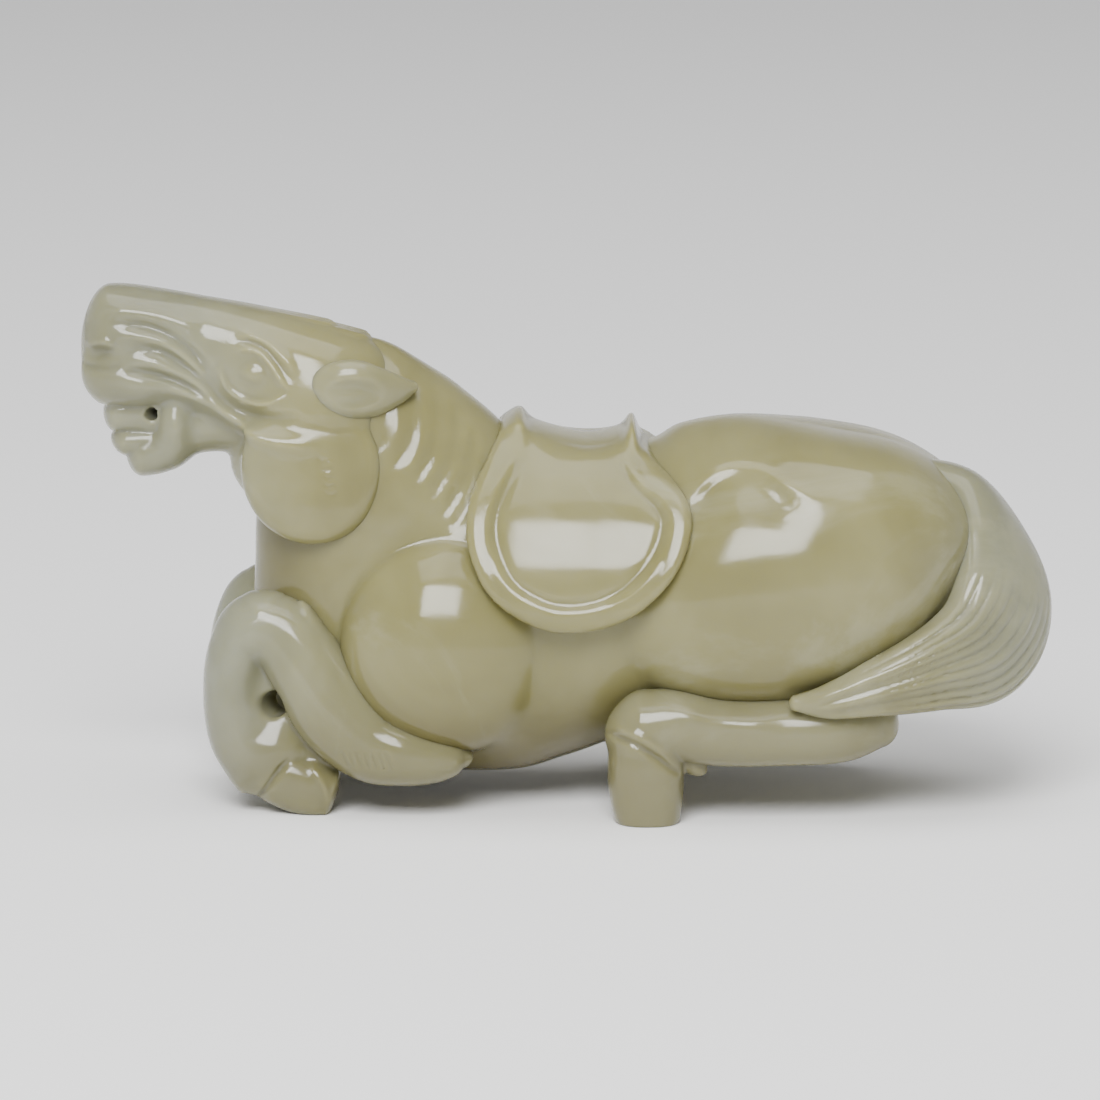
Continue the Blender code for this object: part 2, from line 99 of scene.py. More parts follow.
def flanks(points):
    """The points mirrored onto the +Y flank, for features that both flanks share."""
    mirrored = points.copy()
    mirrored[:, 1] = np.abs(mirrored[:, 1])
    return mirrored


def smooth_through(stations, count=160):
    """Rows of numbers, joined by a smooth curve through them and sampled evenly."""
    rows = np.asarray(stations, float)
    ends = np.vstack([2 * rows[0] - rows[1], rows, 2 * rows[-1] - rows[-2]])
    place = np.linspace(0, len(rows) - 1, count)
    first = np.minimum(place.astype(int), len(rows) - 2)
    t = (place - first)[:, None]
    p0, p1, p2, p3 = (ends[first + step] for step in range(4))
    return 0.5 * (2 * p1 + (p2 - p0) * t + (2 * p0 - 5 * p1 + 4 * p2 - p3) * t ** 2
                  + (3 * p1 - p0 - 3 * p2 + p3) * t ** 3)


# ---- Fields: solid forms --------------------------------------------------------------------------
def egg(points, centre, radii, tilt=0.0):
    """An ellipsoid. tilt raises its +X end, in degrees."""
    local = points - np.asarray(centre, float)
    if tilt:
        c, s = math.cos(math.radians(tilt)), math.sin(math.radians(tilt))
        local = np.stack([c * local[:, 0] + s * local[:, 2], local[:, 1],
                          c * local[:, 2] - s * local[:, 0]], 1)
    radii = np.asarray(radii, float)
    reach = np.sqrt(((local / radii) ** 2).sum(1))
    slope = np.sqrt(((local / radii ** 2) ** 2).sum(1))
    return reach * (reach - 1) / np.maximum(slope, 1e-6)


def round_section(across, deep, beyond, wide, thick, cap, boxy):
    """Distance from an oval section, closed by rounded caps at the ends of the form."""
    u, v, w = np.abs(across) / wide, np.abs(deep) / thick, np.abs(beyond) / cap
    oval = (u ** boxy + v ** boxy) ** (1 / boxy)
    reach = np.sqrt(oval ** 2 + w ** 2)
    slope = np.sqrt((u / wide) ** 2 + (v / thick) ** 2 + (w / cap) ** 2)
    return reach * (reach - 1) / np.maximum(slope, 1e-6)


def loft(points, stations, caps, upright=False, boxy=2.0):
    """A form with sections square to X, or level with the ground if upright.

    stations: place along the axis, centre on the other axis, half width in Y, half depth.
    caps: where each rounded end starts, and its length.
    """
    curve = smooth_through(sorted(stations))
    place, other = (points[:, 2], points[:, 0]) if upright else (points[:, 0], points[:, 2])
    centre, wide, deep = (np.interp(place, curve[:, 0], curve[:, i]) for i in (1, 2, 3))
    (start, start_length), (end, end_length) = caps
    beyond = np.where(place < start, (start - place) / start_length, 0.0)
    beyond = np.where(place > end, (place - end) / end_length, beyond)
    cap = np.where(place < start, start_length, end_length)
    return round_section(points[:, 1], other - centre, beyond * cap, wide, deep, cap, boxy)


class Sweep:
    """An oval section carried along a path.

    stations: x, y, z, half width, half thickness, and facing, the direction of the broad face's
    normal in degrees from -Y towards +X. The width is square to the path and to that normal.
    """

    def __init__(self, stations, caps=(1.0, 1.0), soften=0.0, count=90):
        rows = smooth_through(stations, count)
        self.rows, self.caps, self.soften = rows, caps, soften
        along = np.gradient(rows[:, :3], axis=0)
        self.step = np.linalg.norm(along, axis=1)
        self.along = along / self.step[:, None]
        facing = np.radians(rows[:, 5])
        out = np.stack([np.sin(facing), -np.cos(facing), np.zeros(count)], 1)
        out -= (out * self.along).sum(1)[:, None] * self.along
        self.out = out / np.linalg.norm(out, axis=1)[:, None]
        self.across = np.cross(self.along, self.out)

    def place(self, points):
        """Each point's place along the path, in samples, averaged a little inside its bends."""
        place = np.empty(len(points))
        last = len(self.rows) - 1
        for first in range(0, len(points), BATCH):
            part = points[first:first + BATCH]
            away = ((part[:, None, :] - self.rows[None, :, :3]) ** 2).sum(2)
            near = away.argmin(1)
            shift = ((part - self.rows[near, :3]) * self.along[near]).sum(1) / self.step[near]
            here = near + np.clip(shift, -0.7, 0.7)
            if self.soften:
                share = np.exp((away.min(1)[:, None] - away) / (2 * self.soften ** 2))
                average = (share * np.arange(last + 1)).sum(1) / share.sum(1)
                here += (average - here) * window(near, 8, 20, last - 20, last - 8)
            place[first:first + BATCH] = here
        return np.clip(place, 0, last)

    def local(self, points):
        """Place along, and distances beyond the ends, across the width and out of the face."""
        place = self.place(points)
        samples = np.arange(len(self.rows))

        def at(table):
            return np.stack([np.interp(place, samples, column) for column in table.T], 1)

        offset = points - at(self.rows[:, :3])
        beyond, across, out = ((offset * at(table)).sum(1)
                               for table in (self.along, self.across, self.out))
        wide, thick = at(self.rows[:, 3:5]).T
        return place / samples[-1], beyond, across, out, wide, thick

    def field(self, points, boxy=2.0, local=None):
        """The sweep as a field. local is what local() returned, where it is already at hand."""
        share, beyond, across, out, wide, thick = local or self.local(points)
        cap = np.where(share < 0.5, self.caps[0], self.caps[1])
        beyond = np.where((share <= 0) | (share >= 1), beyond, 0.0)
        return round_section(across, out, beyond, wide, thick, cap, boxy)


# ---- Fields: cut lines ----------------------------------------------------------------------------
LINE_TAPER = 0.25


def line_profile(points, path, width):
    """A soft-edged line seen from the side: 1 on the path, 0 away from it, fading at its ends.

    path: x and z of its points, and optionally the line's own width there as a share of width.
    """
    rows = np.asarray(path, float)
    if rows.shape[1] == 2:
        rows = np.hstack([rows, np.ones((len(rows), 1))])
    curve = smooth_through(rows, 14 * len(rows))
    flat = points[:, (0, 2)]
    reach = 3 * width * rows[:, 2].max()
    low, high = curve[:, :2].min(0) - reach, curve[:, :2].max(0) + reach
    close = np.flatnonzero(((flat > low) & (flat < high)).all(1))
    profile = np.zeros(len(points))
    last = len(curve) - 1
    for first in range(0, len(close), BATCH):
        chosen = close[first:first + BATCH]
        part = flat[chosen]
        away = ((part[:, None, :] - curve[None, :, :2]) ** 2).sum(2)
        near = away.argmin(1)
        ahead = np.clip(near + 1, 0, last)
        behind = np.clip(near - 1, 0, last)
        run = curve[ahead, :2] - curve[behind, :2]
        length = np.maximum(np.linalg.norm(run, axis=1), 1e-6)
        offset = part - curve[near, :2]
        side = np.abs(offset[:, 0] * run[:, 1] - offset[:, 1] * run[:, 0]) / length
        ended = (near == 0) | (near == last)
        side = np.where(ended, np.sqrt(away[np.arange(len(part)), near]), side)
        share = near / last
        strength = window(share, 0, LINE_TAPER, 1 - LINE_TAPER, 1)
        profile[chosen] = strength * np.exp(-(side / (width * curve[near, 2])) ** 2)
    return profile


def engrave(field, points, lines, strength=1.0):
    """Cuts lines seen from the side: paths, widths, and depths. A negative depth raises a ridge."""
    for path, width, depth in lines:
        field = field + depth * strength * line_profile(points, path, width)
    return field


# ---- The carved masses ----------------------------------------------------------------------------
# Lofts list their place, centre, half width and half depth. Eggs list their centre and radii.
BARREL = [
    (-36.0, 20.0, 9.0, 13.0), (-28.0, 20.0, 9.4, 13.4), (-24.0, 20.0, 10.0, 14.0),
    (-16.0, 20.3, 12.0, 17.0), (-6.0, 21.3, 14.8, 18.2), (0.0, 22.3, 15.3, 17.6),
    (5.0, 23.2, 15.4, 16.7), (9.5, 24.1, 15.2, 15.9), (13.0, 25.0, 15.0, 16.8),
    (19.0, 25.6, 15.3, 17.1), (26.0, 25.7, 15.4, 16.3), (32.0, 25.4, 15.2, 15.5),
    (40.0, 25.0, 14.6, 15.1), (51.0, 24.5, 13.5, 14.0),
]
BARREL_CAPS = ((-24.0, 10.2), (32.0, 17.6))
NECK = [
    (8.0, -15.0, 8.0, 12.0), (12.0, -16.0, 9.6, 14.5), (18.0, -17.4, 10.6, 16.4),
    (25.0, -17.9, 11.0, 16.5), (32.0, -17.7, 10.8, 16.6), (36.0, -18.0, 10.4, 15.6),
    (40.0, -18.7, 9.6, 13.4), (43.0, -19.5, 8.9, 11.4), (46.0, -21.0, 7.8, 9.3),
    (49.0, -22.0, 6.0, 6.9), (52.0, -22.5, 4.4, 5.5),
]
NECK_CAPS = ((12.0, 6.0), (46.0, 5.6))
HAUNCH = ((23.3, 10.4, 25.3), (19.6, 10.1, 13.2))
SHOULDER = ((-12.9, 9.8, 18.6), (12.0, 8.9, 12.0))
# Locks of the mane, each a wheel-cut hollow from the crest down the side of the neck.
MANE = [
    ([(-20.6, 48.6, 0.3), (-19.6, 45.4, 0.9), (-19.8, 42.2, 0.8), (-21.2, 39.2, 0.3)], 1.0, 0.2),
    ([(-17.8, 48.6, 0.4), (-16.7, 45.2, 1.0), (-17.1, 41.6, 0.9), (-19.2, 37.8, 0.3)], 1.2, 0.34),
    ([(-14.8, 47.4, 0.4), (-14.0, 43.8, 1.0), (-14.7, 40.2, 0.9), (-17.2, 36.2, 0.3)], 1.2, 0.36),
    ([(-12.2, 45.2, 0.4), (-12.0, 41.8, 1.0), (-13.1, 38.2, 0.9), (-15.6, 34.4, 0.3)], 1.1, 0.4),
    ([(-10.2, 42.8, 0.4), (-10.4, 39.6, 1.0), (-11.7, 36.2, 0.9), (-14.0, 32.8, 0.3)], 1.0, 0.36),
    ([(-8.6, 40.4, 0.4), (-9.2, 37.6, 1.0), (-10.7, 34.4, 0.9), (-12.7, 31.4, 0.3)], 0.85, 0.3),
]
# The hollow of the flank: its dent, and the raised line that arches over it.
FLANK = [
    ([(13.0, 33.4, 0.7), (15.6, 35.8, 1.0), (19.2, 36.9, 1.1), (22.8, 36.0, 1.2),
      (26.6, 33.6, 1.2)], 1.7, 0.5),
    ([(12.4, 33.4), (14.4, 37.0), (17.6, 39.3), (21.0, 39.4), (24.6, 37.6), (29.0, 35.0)],
     0.8, -0.22),
]


def body_field(points):
    """Barrel, neck, haunches and shoulders."""
    both = flanks(points)
    x, z = points[:, 0], points[:, 2]
    field = loft(points, BARREL, BARREL_CAPS, boxy=2.15)
    haunch = egg(both, *HAUNCH, tilt=14)
    field = unite(field, haunch, 0.7 + 7.0 * ramp(z + 0.25 * x, 34, 44))
    neck = loft(points, NECK, NECK_CAPS, upright=True)
    field = unite(field, neck, 1.4 + 0.6 * ramp(z, 14, 24))
    shoulder = egg(both, *SHOULDER)
    field = unite(field, shoulder, 0.5 + 1.8 * ramp(x - z, -24, -10))
    field = engrave(field, points, MANE, ramp(both[:, 1], 0.6, 2.4))
    return engrave(field, points, FLANK, ramp(both[:, 1], 8, 12))


SKULL = [
    (-56.0, 50.2, 5.1, 6.5), (-52.0, 50.6, 5.4, 6.7), (-49.0, 50.8, 5.7, 6.7),
    (-45.0, 50.4, 5.8, 6.6), (-40.0, 49.2, 6.0, 6.9), (-35.0, 47.8, 7.3, 7.4),
    (-30.0, 46.5, 8.7, 7.6), (-25.0, 45.2, 8.9, 7.5), (-20.0, 43.8, 7.4, 7.0),
    (-16.0, 42.8, 4.6, 6.0),
]
SKULL_CAPS = ((-50.4, 3.2), (-22.0, 5.5))
JAW = [
    (-50.0, 38.9, 3.7, 2.6), (-46.5, 38.8, 4.2, 2.7), (-43.5, 39.9, 4.4, 3.1),
    (-40.6, 41.8, 4.2, 3.2), (-36.0, 42.6, 4.2, 4.0), (-30.0, 42.0, 5.0, 5.0),
]
JAW_CAPS = ((-46.8, 1.9), (-33.0, 3.0))
TEETH = [(-52.0, 43.3, 3.4, 2.1), (-48.5, 43.3, 4.0, 2.3), (-44.0, 43.3, 3.8, 2.6)]
TONGUE = [(-51.0, 40.4, 3.1, 1.4), (-48.5, 40.2, 3.8, 1.8), (-44.0, 40.4, 3.8, 2.0)]
# Flowing folds of the muzzle, the cheek's crest, and the lines round the eye and the nostril.
FACE = [
    ([(-51.6, 55.3), (-48.0, 55.3), (-44.7, 54.8), (-42.0, 53.9), (-39.2, 53.0)], 0.9, -0.35),
    ([(-50.6, 53.9), (-46.8, 53.6), (-44.2, 52.8), (-42.0, 51.5), (-40.4, 50.0), (-39.3, 48.0)],
     0.55, 0.5),
    ([(-50.2, 52.5), (-47.3, 52.5), (-45.0, 52.1), (-43.2, 51.4), (-41.5, 50.0), (-39.9, 48.2),
      (-38.2, 46.0)], 0.7, -0.42),
    ([(-48.8, 51.0), (-45.5, 51.0), (-43.7, 50.4), (-42.0, 49.3), (-40.5, 48.1), (-39.0, 46.4)],
     0.5, 0.5),
    ([(-49.0, 49.9), (-46.3, 49.7), (-44.2, 49.1), (-42.0, 48.2), (-39.9, 46.9), (-38.2, 45.3),
      (-36.0, 43.5)], 0.65, -0.45),
    ([(-49.6, 48.6), (-47.3, 48.6), (-44.7, 48.1), (-42.5, 47.3), (-40.5, 46.2), (-38.4, 44.6)],
     0.5, 0.45),
    ([(-49.6, 46.4, 1.2), (-47.0, 46.7, 1.4), (-43.8, 46.6, 1.2), (-41.2, 45.9, 0.9),
      (-38.9, 44.8, 0.9), (-36.9, 43.5, 0.9), (-34.9, 42.3, 1.0), (-32.6, 41.6, 1.1),
      (-29.8, 41.3, 1.4), (-27.0, 41.4, 1.5), (-24.4, 41.8, 1.0)], 0.85, -0.7),
    ([(-39.6, 50.4), (-39.4, 47.8), (-38.4, 46.0), (-36.6, 44.7), (-34.0, 43.9), (-31.0, 43.9),
      (-28.4, 44.6)], 0.75, 0.6),
    ([(-36.7, 51.0), (-35.2, 51.3), (-33.6, 50.9), (-32.3, 49.6), (-31.3, 48.1), (-29.9, 46.9)],
     0.42, -0.45),
    ([(-36.4, 52.6), (-34.6, 52.7), (-32.5, 51.8), (-30.7, 50.2), (-29.2, 48.6)], 0.5, -0.32),
    ([(-36.9, 51.9), (-34.8, 52.0), (-33.0, 51.3), (-31.5, 49.7), (-30.2, 48.1)], 0.32, 0.22),
    ([(-38.1, 50.0), (-37.9, 48.4), (-37.2, 46.9), (-36.0, 45.9), (-34.2, 45.4), (-32.2, 45.7),
      (-30.4, 46.7)], 0.42, -0.38),
    ([(-53.0, 51.0, 0.5), (-52.0, 51.6, 1.0), (-50.6, 51.7, 1.0), (-49.4, 51.0, 0.7)], 0.6, -0.28),
    ([(-53.6, 49.4, 0.6), (-52.2, 48.9, 1.0), (-50.0, 49.0, 1.0), (-48.4, 49.7, 0.7)], 0.5, 0.25),
]
# The round jowl and the small hole drilled at the lip corner: x and z of their middles, and radius.
JOWL = (-27.8, 38.2, 7.9)
MOUTH_DRILL = (-46.0, 43.5, 0.72)
# Tufts of the forelock: front, back, half width and rise.
TUFTS = ((-33.6, -25.4, 2.6, 0.34), (-28.4, -21.6, 3.2, 0.42))
# Hair ticks cut into the jowl.
JOWL_TICKS = [
    ([(x, z), (x + 0.8, z - 0.7), (x + 1.7, z - 0.3)], 0.24, 0.09)
    for x, z in ((-27.4, 40.0), (-27.1, 39.1), (-26.9, 38.2), (-26.8, 37.3), (-26.7, 36.4))
]


def forelock(points):
    """Height of the overlapping tufts between the ears, each ending in a scalloped step."""
    x, y = points[:, 0], points[:, 1]
    height = np.zeros(len(points))
    for front, back, wide, rise in TUFTS:
        edge = back - 1.8 * (y / wide) ** 2
        share = np.clip((x - front) / (edge - front), 0, 1)
        tuft = (rise + 0.06 * np.cos(y * 4.2)) * share ** 1.4 * (1 - ramp(x - edge, -0.2, 0.5))
        height = np.maximum(height, tuft * (1 - ramp(np.abs(y), wide - 1.4, wide)))
    return height * ramp(points[:, 2], 46, 49)


def head_field(points):
    """Skull, jaw, lips, teeth, cheeks and eyes."""
    both = flanks(points)
    side = both[:, 1]
    field = loft(points, SKULL, SKULL_CAPS, boxy=2.5)
    field = unite(field, loft(points, JAW, JAW_CAPS, boxy=2.3), 0.6)
    lip_corner = egg(points, (-43.1, 0, 42.0), (2.5, 5.5, 4.6))
    field = unite(field, lip_corner, 1.0)
    x, z = points[:, 0], points[:, 2]
    jowl_x, jowl_z, radius = JOWL
    jowl = np.hypot(x - jowl_x, (z - jowl_z) / 1.04) - radius
    face = side - 11.3 + 0.17 * (z - 36) + 0.014 * ((x + 27) ** 2 + (z - 38) ** 2)
    field = unite(field, overlap(jowl, face, 1.9), 0.6 + 2.4 * ramp(z, 41, 45))
    throat = egg(points, (-32.6, 0, 38.4), (4.6, 4.4, 5.4))
    field = unite(field, throat, 1.0)
    lip = egg(both, (-48.0, 2.7, 47.4), (4.9, 3.7, 3.1), tilt=-5)
    lip = unite(lip, egg(both, (-50.5, 2.2, 47.7), (2.7, 3.3, 2.9), tilt=20), 1.0)
    field = unite(field, lip, 1.0)
    mouth = egg(both, (-48.3, 7.6, 42.5), (3.1, 4.4, 2.5))
    mouth = unite(mouth, egg(points, (-51.4, 0, 42.4), (2.9, 9.0, 1.9)), 0.8)
    field = carve(field, mouth, 0.5)
    palate = egg(points, (-45.6, 0, 42.6), (3.4, 3.2, 3.2))
    teeth = loft(points, TEETH, ((-49.7, 1.5), (-45.0, 1.0)), boxy=2.5)
    tongue = loft(points, TONGUE, ((-48.6, 1.8), (-45.0, 1.0)), boxy=2.3)
    field = unite(field, unite(unite(teeth, palate, 0.8), tongue, 0.2), 0.25)
    nostril = egg(both, (-52.3, 5.6, 50.2), (2.2, 1.5, 0.9), tilt=14)
    field = carve(field, nostril, 1.4)
    field = engrave(field, points, FACE, ramp(side, 1.5, 3.5))
    eye = egg(both, (-33.9, 5.8, 48.4), (2.3, 2.2, 1.7), tilt=-14)
    field = unite(field, eye, 0.25)
    field = engrave(field, points, JOWL_TICKS, ramp(side, 7, 9))
    drill_x, drill_z, radius = MOUTH_DRILL
    drill = np.hypot(x - drill_x - 0.5 * (4.2 - side), z - drill_z) - radius
    return carve(field - forelock(points), drill, 0.2)


FOREARM = Sweep([
    (-11.4, -11.4, 6.5, 1.0, 1.8, 0), (-13.6, -11.8, 6.5, 2.6, 3.8, 0),
    (-17.5, -11.6, 7.0, 3.7, 4.8, 0), (-21.5, -11.0, 8.2, 4.5, 5.0, 0),
    (-25.2, -10.6, 11.6, 4.9, 4.8, 0), (-28.2, -10.0, 16.0, 4.4, 4.6, 0),
    (-30.8, -9.2, 19.6, 4.0, 4.5, 0), (-33.0, -8.6, 21.2, 3.2, 4.0, 0),
], caps=(1.2, 2.0))
FORE_CANNON = Sweep([
    (-33.4, -8.5, 21.6, 2.8, 3.8, 0), (-35.2, -8.5, 19.8, 3.4, 4.3, 0),
    (-36.6, -8.4, 16.4, 3.2, 4.3, 0), (-36.9, -8.4, 12.0, 3.1, 4.1, 0),
    (-36.1, -8.4, 8.2, 3.3, 4.0, 0), (-34.4, -8.4, 5.0, 3.2, 3.9, 0),
], caps=(2.0, 2.0))
FORE_HOOF = Sweep([
    (-35.4, -8.4, 4.6, 2.6, 3.2, 0), (-33.0, -8.4, 4.4, 3.0, 4.0, 0),
    (-30.4, -8.4, 3.4, 3.3, 4.4, 0), (-27.6, -8.4, 2.4, 3.3, 4.4, 0),
    (-26.1, -8.4, 1.9, 3.0, 4.1, 0),
], caps=(1.4, 0.9))
# The tube-drilled hole in the bend: x and z of its middle, and radius.
BEND_DRILL = (-32.1, 12.2, 1.5)
# Coronet, heel, and the fine hair behind the forearm.
FORELEG_LINES = [
    ([(-34.0, 1.6), (-33.2, 2.8), (-31.8, 4.8), (-30.2, 6.6)], 0.38, 0.5),
    ([(-28.4, 6.2), (-27.2, 4.6), (-26.3, 2.6), (-25.9, 0.8)], 0.45, -0.25),
] + [
    ([(x, 8.0), (x + 0.35, 7.0), (x + 0.9, 5.8)], 0.2, 0.16)
    for x in (-24.6, -23.8, -23.0, -22.2, -21.4, -20.6, -19.8)
]


def foreleg_field(points):
    """The near foreleg: forearm, knee, cannon and hoof, with a drilled web in the bend."""
    x, z = points[:, 0], points[:, 2]
    foot = egg(points, (-32.4, -8.4, 6.8), (4.4, 4.1, 3.5))
    cannon = unite(FORE_CANNON.field(points), foot, 1.6)
    web = egg(points, (-31.0, -8.4, 11.4), (5.4, 2.3, 8.2), tilt=-20)
    cannon = unite(cannon, web, 2.4)
    cannon = unite(cannon, egg(points, (-27.4, -8.6, 5.6), (2.6, 2.8, 2.6)), 1.2)
    cannon = unite(cannon, FORE_HOOF.field(points, boxy=3.0), 0.5)
    forearm = FOREARM.field(points, boxy=2.3)
    knee = egg(points, (-33.0, -8.5, 20.4), (4.3, 4.6, 3.9))
    forearm = unite(forearm, knee, 1.2)
    field = unite(cannon, forearm, 0.4 + 1.4 * ramp(z, 17, 20))
    for tuft_x, tuft_z in ((-28.0, 21.6), (-25.3, 17.9)):
        tuft = egg(points, (tuft_x, -9.8, tuft_z), (2.4, 2.2, 0.8), tilt=-58)
        field = unite(field, tuft, 0.4)
    elbow = egg(points, (-13.2, -12.0, 6.6), (2.3, 3.1, 1.9))
    field = unite(field, elbow, 0.8)
    field = engrave(field, points, FORELEG_LINES)
    drill_x, drill_z, radius = BEND_DRILL
    drill = np.hypot(x - drill_x - 0.4 * (points[:, 1] + 10.5), z - drill_z) - radius
    field = carve(field, drill, 0.5)
    return overlap(field, -z, 0.25)


HIND_CANNON = Sweep([
    (34.0, -12.8, 11.0, 3.2, 3.6, 0), (30.0, -13.7, 10.2, 3.8, 4.4, 0),
    (24.0, -14.0, 9.9, 3.8, 4.6, 0), (17.0, -14.2, 9.9, 3.8, 4.6, 0),
    (12.0, -14.4, 10.7, 3.9, 4.6, 0), (8.6, -14.4, 10.8, 3.7, 4.5, 0),
], caps=(2.6, 2.9))
HIND_HOOF = Sweep([
    (9.1, -14.4, 10.4, 3.2, 4.0, 0), (8.9, -14.4, 8.4, 4.0, 4.4, 0),
    (8.8, -14.4, 6.0, 4.2, 4.7, 0), (8.9, -14.4, 3.0, 4.1, 4.7, 0),
    (9.1, -14.4, -1.0, 3.4, 4.3, 0),
], caps=(2.2, 1.0))
HIND_LEG_LINES = [
    ([(4.2, 10.2), (6.0, 9.9), (7.9, 9.2), (10.0, 7.8), (11.8, 6.3), (12.8, 5.5)], 0.34, 0.4),
    ([(4.6, 11.1), (6.2, 10.8), (8.3, 10.1), (10.5, 8.6), (12.2, 7.2)], 0.5, -0.28),
    ([(11.0, 13.2), (14.6, 12.2), (19.0, 11.6), (24.0, 11.4)], 0.8, -0.2),
]


def hind_leg_field(points):
    """The near hind leg: cannon along the ground, ergot, and the hoof turned down."""
    pastern = egg(points, (8.8, -14.4, 9.6), (4.5, 4.7, 4.4))
    field = unite(HIND_CANNON.field(points, boxy=2.2), pastern, 0.9)
    field = unite(field, HIND_HOOF.field(points, boxy=2.5), 0.4)
    ergot = egg(points, (13.9, -14.2, 6.1), (1.8, 1.9, 1.0), tilt=-25)
    field = unite(field, ergot, 0.5)
    field = engrave(field, points, HIND_LEG_LINES)
    return overlap(field, -points[:, 2], 0.25)


TAIL = Sweep([
    (38.4, -0.6, 36.2, 4.0, 2.2, 84), (44.0, -2.0, 34.0, 5.2, 3.1, 76),
    (47.2, -5.0, 29.2, 6.5, 3.4, 58), (48.2, -8.6, 23.6, 7.2, 3.5, 42),
    (45.4, -12.6, 19.0, 6.6, 3.4, 26), (39.6, -15.8, 17.0, 4.7, 3.0, 12),
    (33.6, -17.4, 15.3, 3.3, 2.5, 4), (28.8, -18.0, 14.0, 2.0, 1.9, 0),
    (25.2, -18.1, 13.8, 0.9, 1.1, 0),
], caps=(2.0, 0.8), soften=2.6)
STRANDS = 11
STRAND_DEPTH = 0.3


def tail_field(points):
    """The tail, smooth at its root and combed into strands below."""
    local = TAIL.local(points)
    share, _, across, _, wide, _ = local
    place = across / wide
    phase = STRANDS / 2 * place + 0.22 * np.sin(3.4 * place + 7 * share) + 0.8 * share
    groove = (1 - np.abs(np.sin(math.pi * phase))) ** 2
    depth = STRAND_DEPTH * ramp(wide, 2.6, 4.8) * window(share, 0.33, 0.5, 0.82, 0.95)
    lock = 0.16 * np.cos(2 * math.pi * 1.5 * (place + 0.15)) * window(share, 0.3, 0.5, 0.8, 0.95)
    field = TAIL.field(points, boxy=2.3, local=local)
    return field + depth * groove - lock


SADDLE_SEAT = [
    (-16.0, 24.0, 17.0, 18.0), (-10.0, 24.0, 17.4, 18.2), (-7.4, 24.0, 17.7, 18.3),
    (-5.1, 24.0, 17.9, 19.4), (-3.2, 23.8, 18.0, 18.1), (2.0, 23.5, 18.1, 17.1),
    (5.8, 23.6, 18.2, 17.6), (7.4, 23.8, 18.3, 18.8), (8.8, 23.8, 18.4, 16.6),
    (12.0, 24.0, 18.5, 16.3), (18.0, 24.0, 18.6, 16.0),
]
# Half width of the flaps at each level.
SADDLE_FLAP = [
    (16.0, 18.9), (20.0, 18.8), (22.0, 18.6), (24.0, 18.3), (26.0, 17.8), (28.0, 17.2),
    (30.0, 16.4), (32.0, 15.4), (34.0, 14.2), (36.0, 12.8), (38.0, 11.0), (40.0, 8.4), (42.0, 3.4),
]
SADDLE_OUTLINE = [
    (-6.4, 48.0), (7.9, 48.0), (8.3, 43.4), (9.2, 39.9), (11.7, 37.6), (13.3, 35.6),
    (13.8, 33.4), (13.2, 30.6), (11.9, 28.0), (9.9, 25.6), (7.4, 23.6), (4.2, 22.2),
    (0.9, 21.7), (-2.0, 21.9), (-4.7, 22.9), (-7.0, 24.3), (-8.8, 26.2), (-10.1, 28.8),
    (-10.8, 31.6), (-10.7, 34.4), (-9.8, 37.1), (-8.3, 39.8), (-7.1, 42.4),
]
# The pad inside the raised border, swelling to its middle: centre, half width and half height.
SADDLE_PAD = ((1.2, 31.0), (9.4, 11.5))


def closed_curve(corners, per_side=10):
    """A smooth closed curve through the corners."""
    corners = np.asarray(corners, float)
    count = len(corners)
    place = np.arange(count * per_side) / per_side
    first = place.astype(int)
    t = (place - first)[:, None]
    p0, p1, p2, p3 = (corners[(first + step) % count] for step in (-1, 0, 1, 2))
    return 0.5 * (2 * p1 + (p2 - p0) * t + (2 * p0 - 5 * p1 + 4 * p2 - p3) * t ** 2
                  + (3 * p1 - p0 - 3 * p2 + p3) * t ** 3)


def outline_distance(x, z, corners):
    """Distance from a closed outline in side view, negative inside."""
    curve = closed_curve(corners)
    run = np.roll(curve, -1, axis=0) - np.roll(curve, 1, axis=0)
    run /= np.linalg.norm(run, axis=1)[:, None]
    distance = np.empty(len(x))
    for first in range(0, len(x), BATCH):
        flat = np.stack([x[first:first + BATCH], z[first:first + BATCH]], 1)
        away = ((flat[:, None, :] - curve[None, :, :]) ** 2).sum(2)
        near = away.argmin(1)
        offset = flat - curve[near]
        outward = offset[:, 1] * run[near, 0] - offset[:, 0] * run[near, 1]
        distance[first:first + BATCH] = np.copysign(np.sqrt(away.min(1)), outward)
    return distance


def saddle_field(points):
    """Seat with pommel and cantle, and the round flaps with their raised borders."""
    x, y, z = points.T
    seat = loft(points, SADDLE_SEAT, ((-15.0, 2.0), (17.0, 2.0)), boxy=2.5)
    level, wide = smooth_through(SADDLE_FLAP).T
    lean = np.gradient(wide, level)
    flare = 2.2 * ramp(x, 3, 14) * (1 - ramp(z, 36, 39.5))
    flap = np.abs(y) - np.interp(z, level, wide) - flare
    flap = flap / np.hypot(1, np.interp(z, level, lean))
    field = seat + (flap - seat) * ramp(np.abs(y), 5, 10)
    edge = outline_distance(x, z, SADDLE_OUTLINE)
    on_flap = ramp(np.abs(y), 7, 13)
    (cx, cz), (rx, rz) = SADDLE_PAD
    swell = np.clip(1 - ((x - cx) / rx) ** 2 - ((z - cz) / rz) ** 2, 0, 1)
    border = window(-edge, -0.3, 1.0, 2.0, 3.3)
    groove = np.exp(-((edge + 3.3) / 0.5) ** 2)
    field = field - on_flap * (1.2 * swell + 0.45 * border - 0.15 * groove)
    field = overlap(field, edge, 0.6)
    return overlap(field, -(body_shell(points) + 7.0), 0.3)


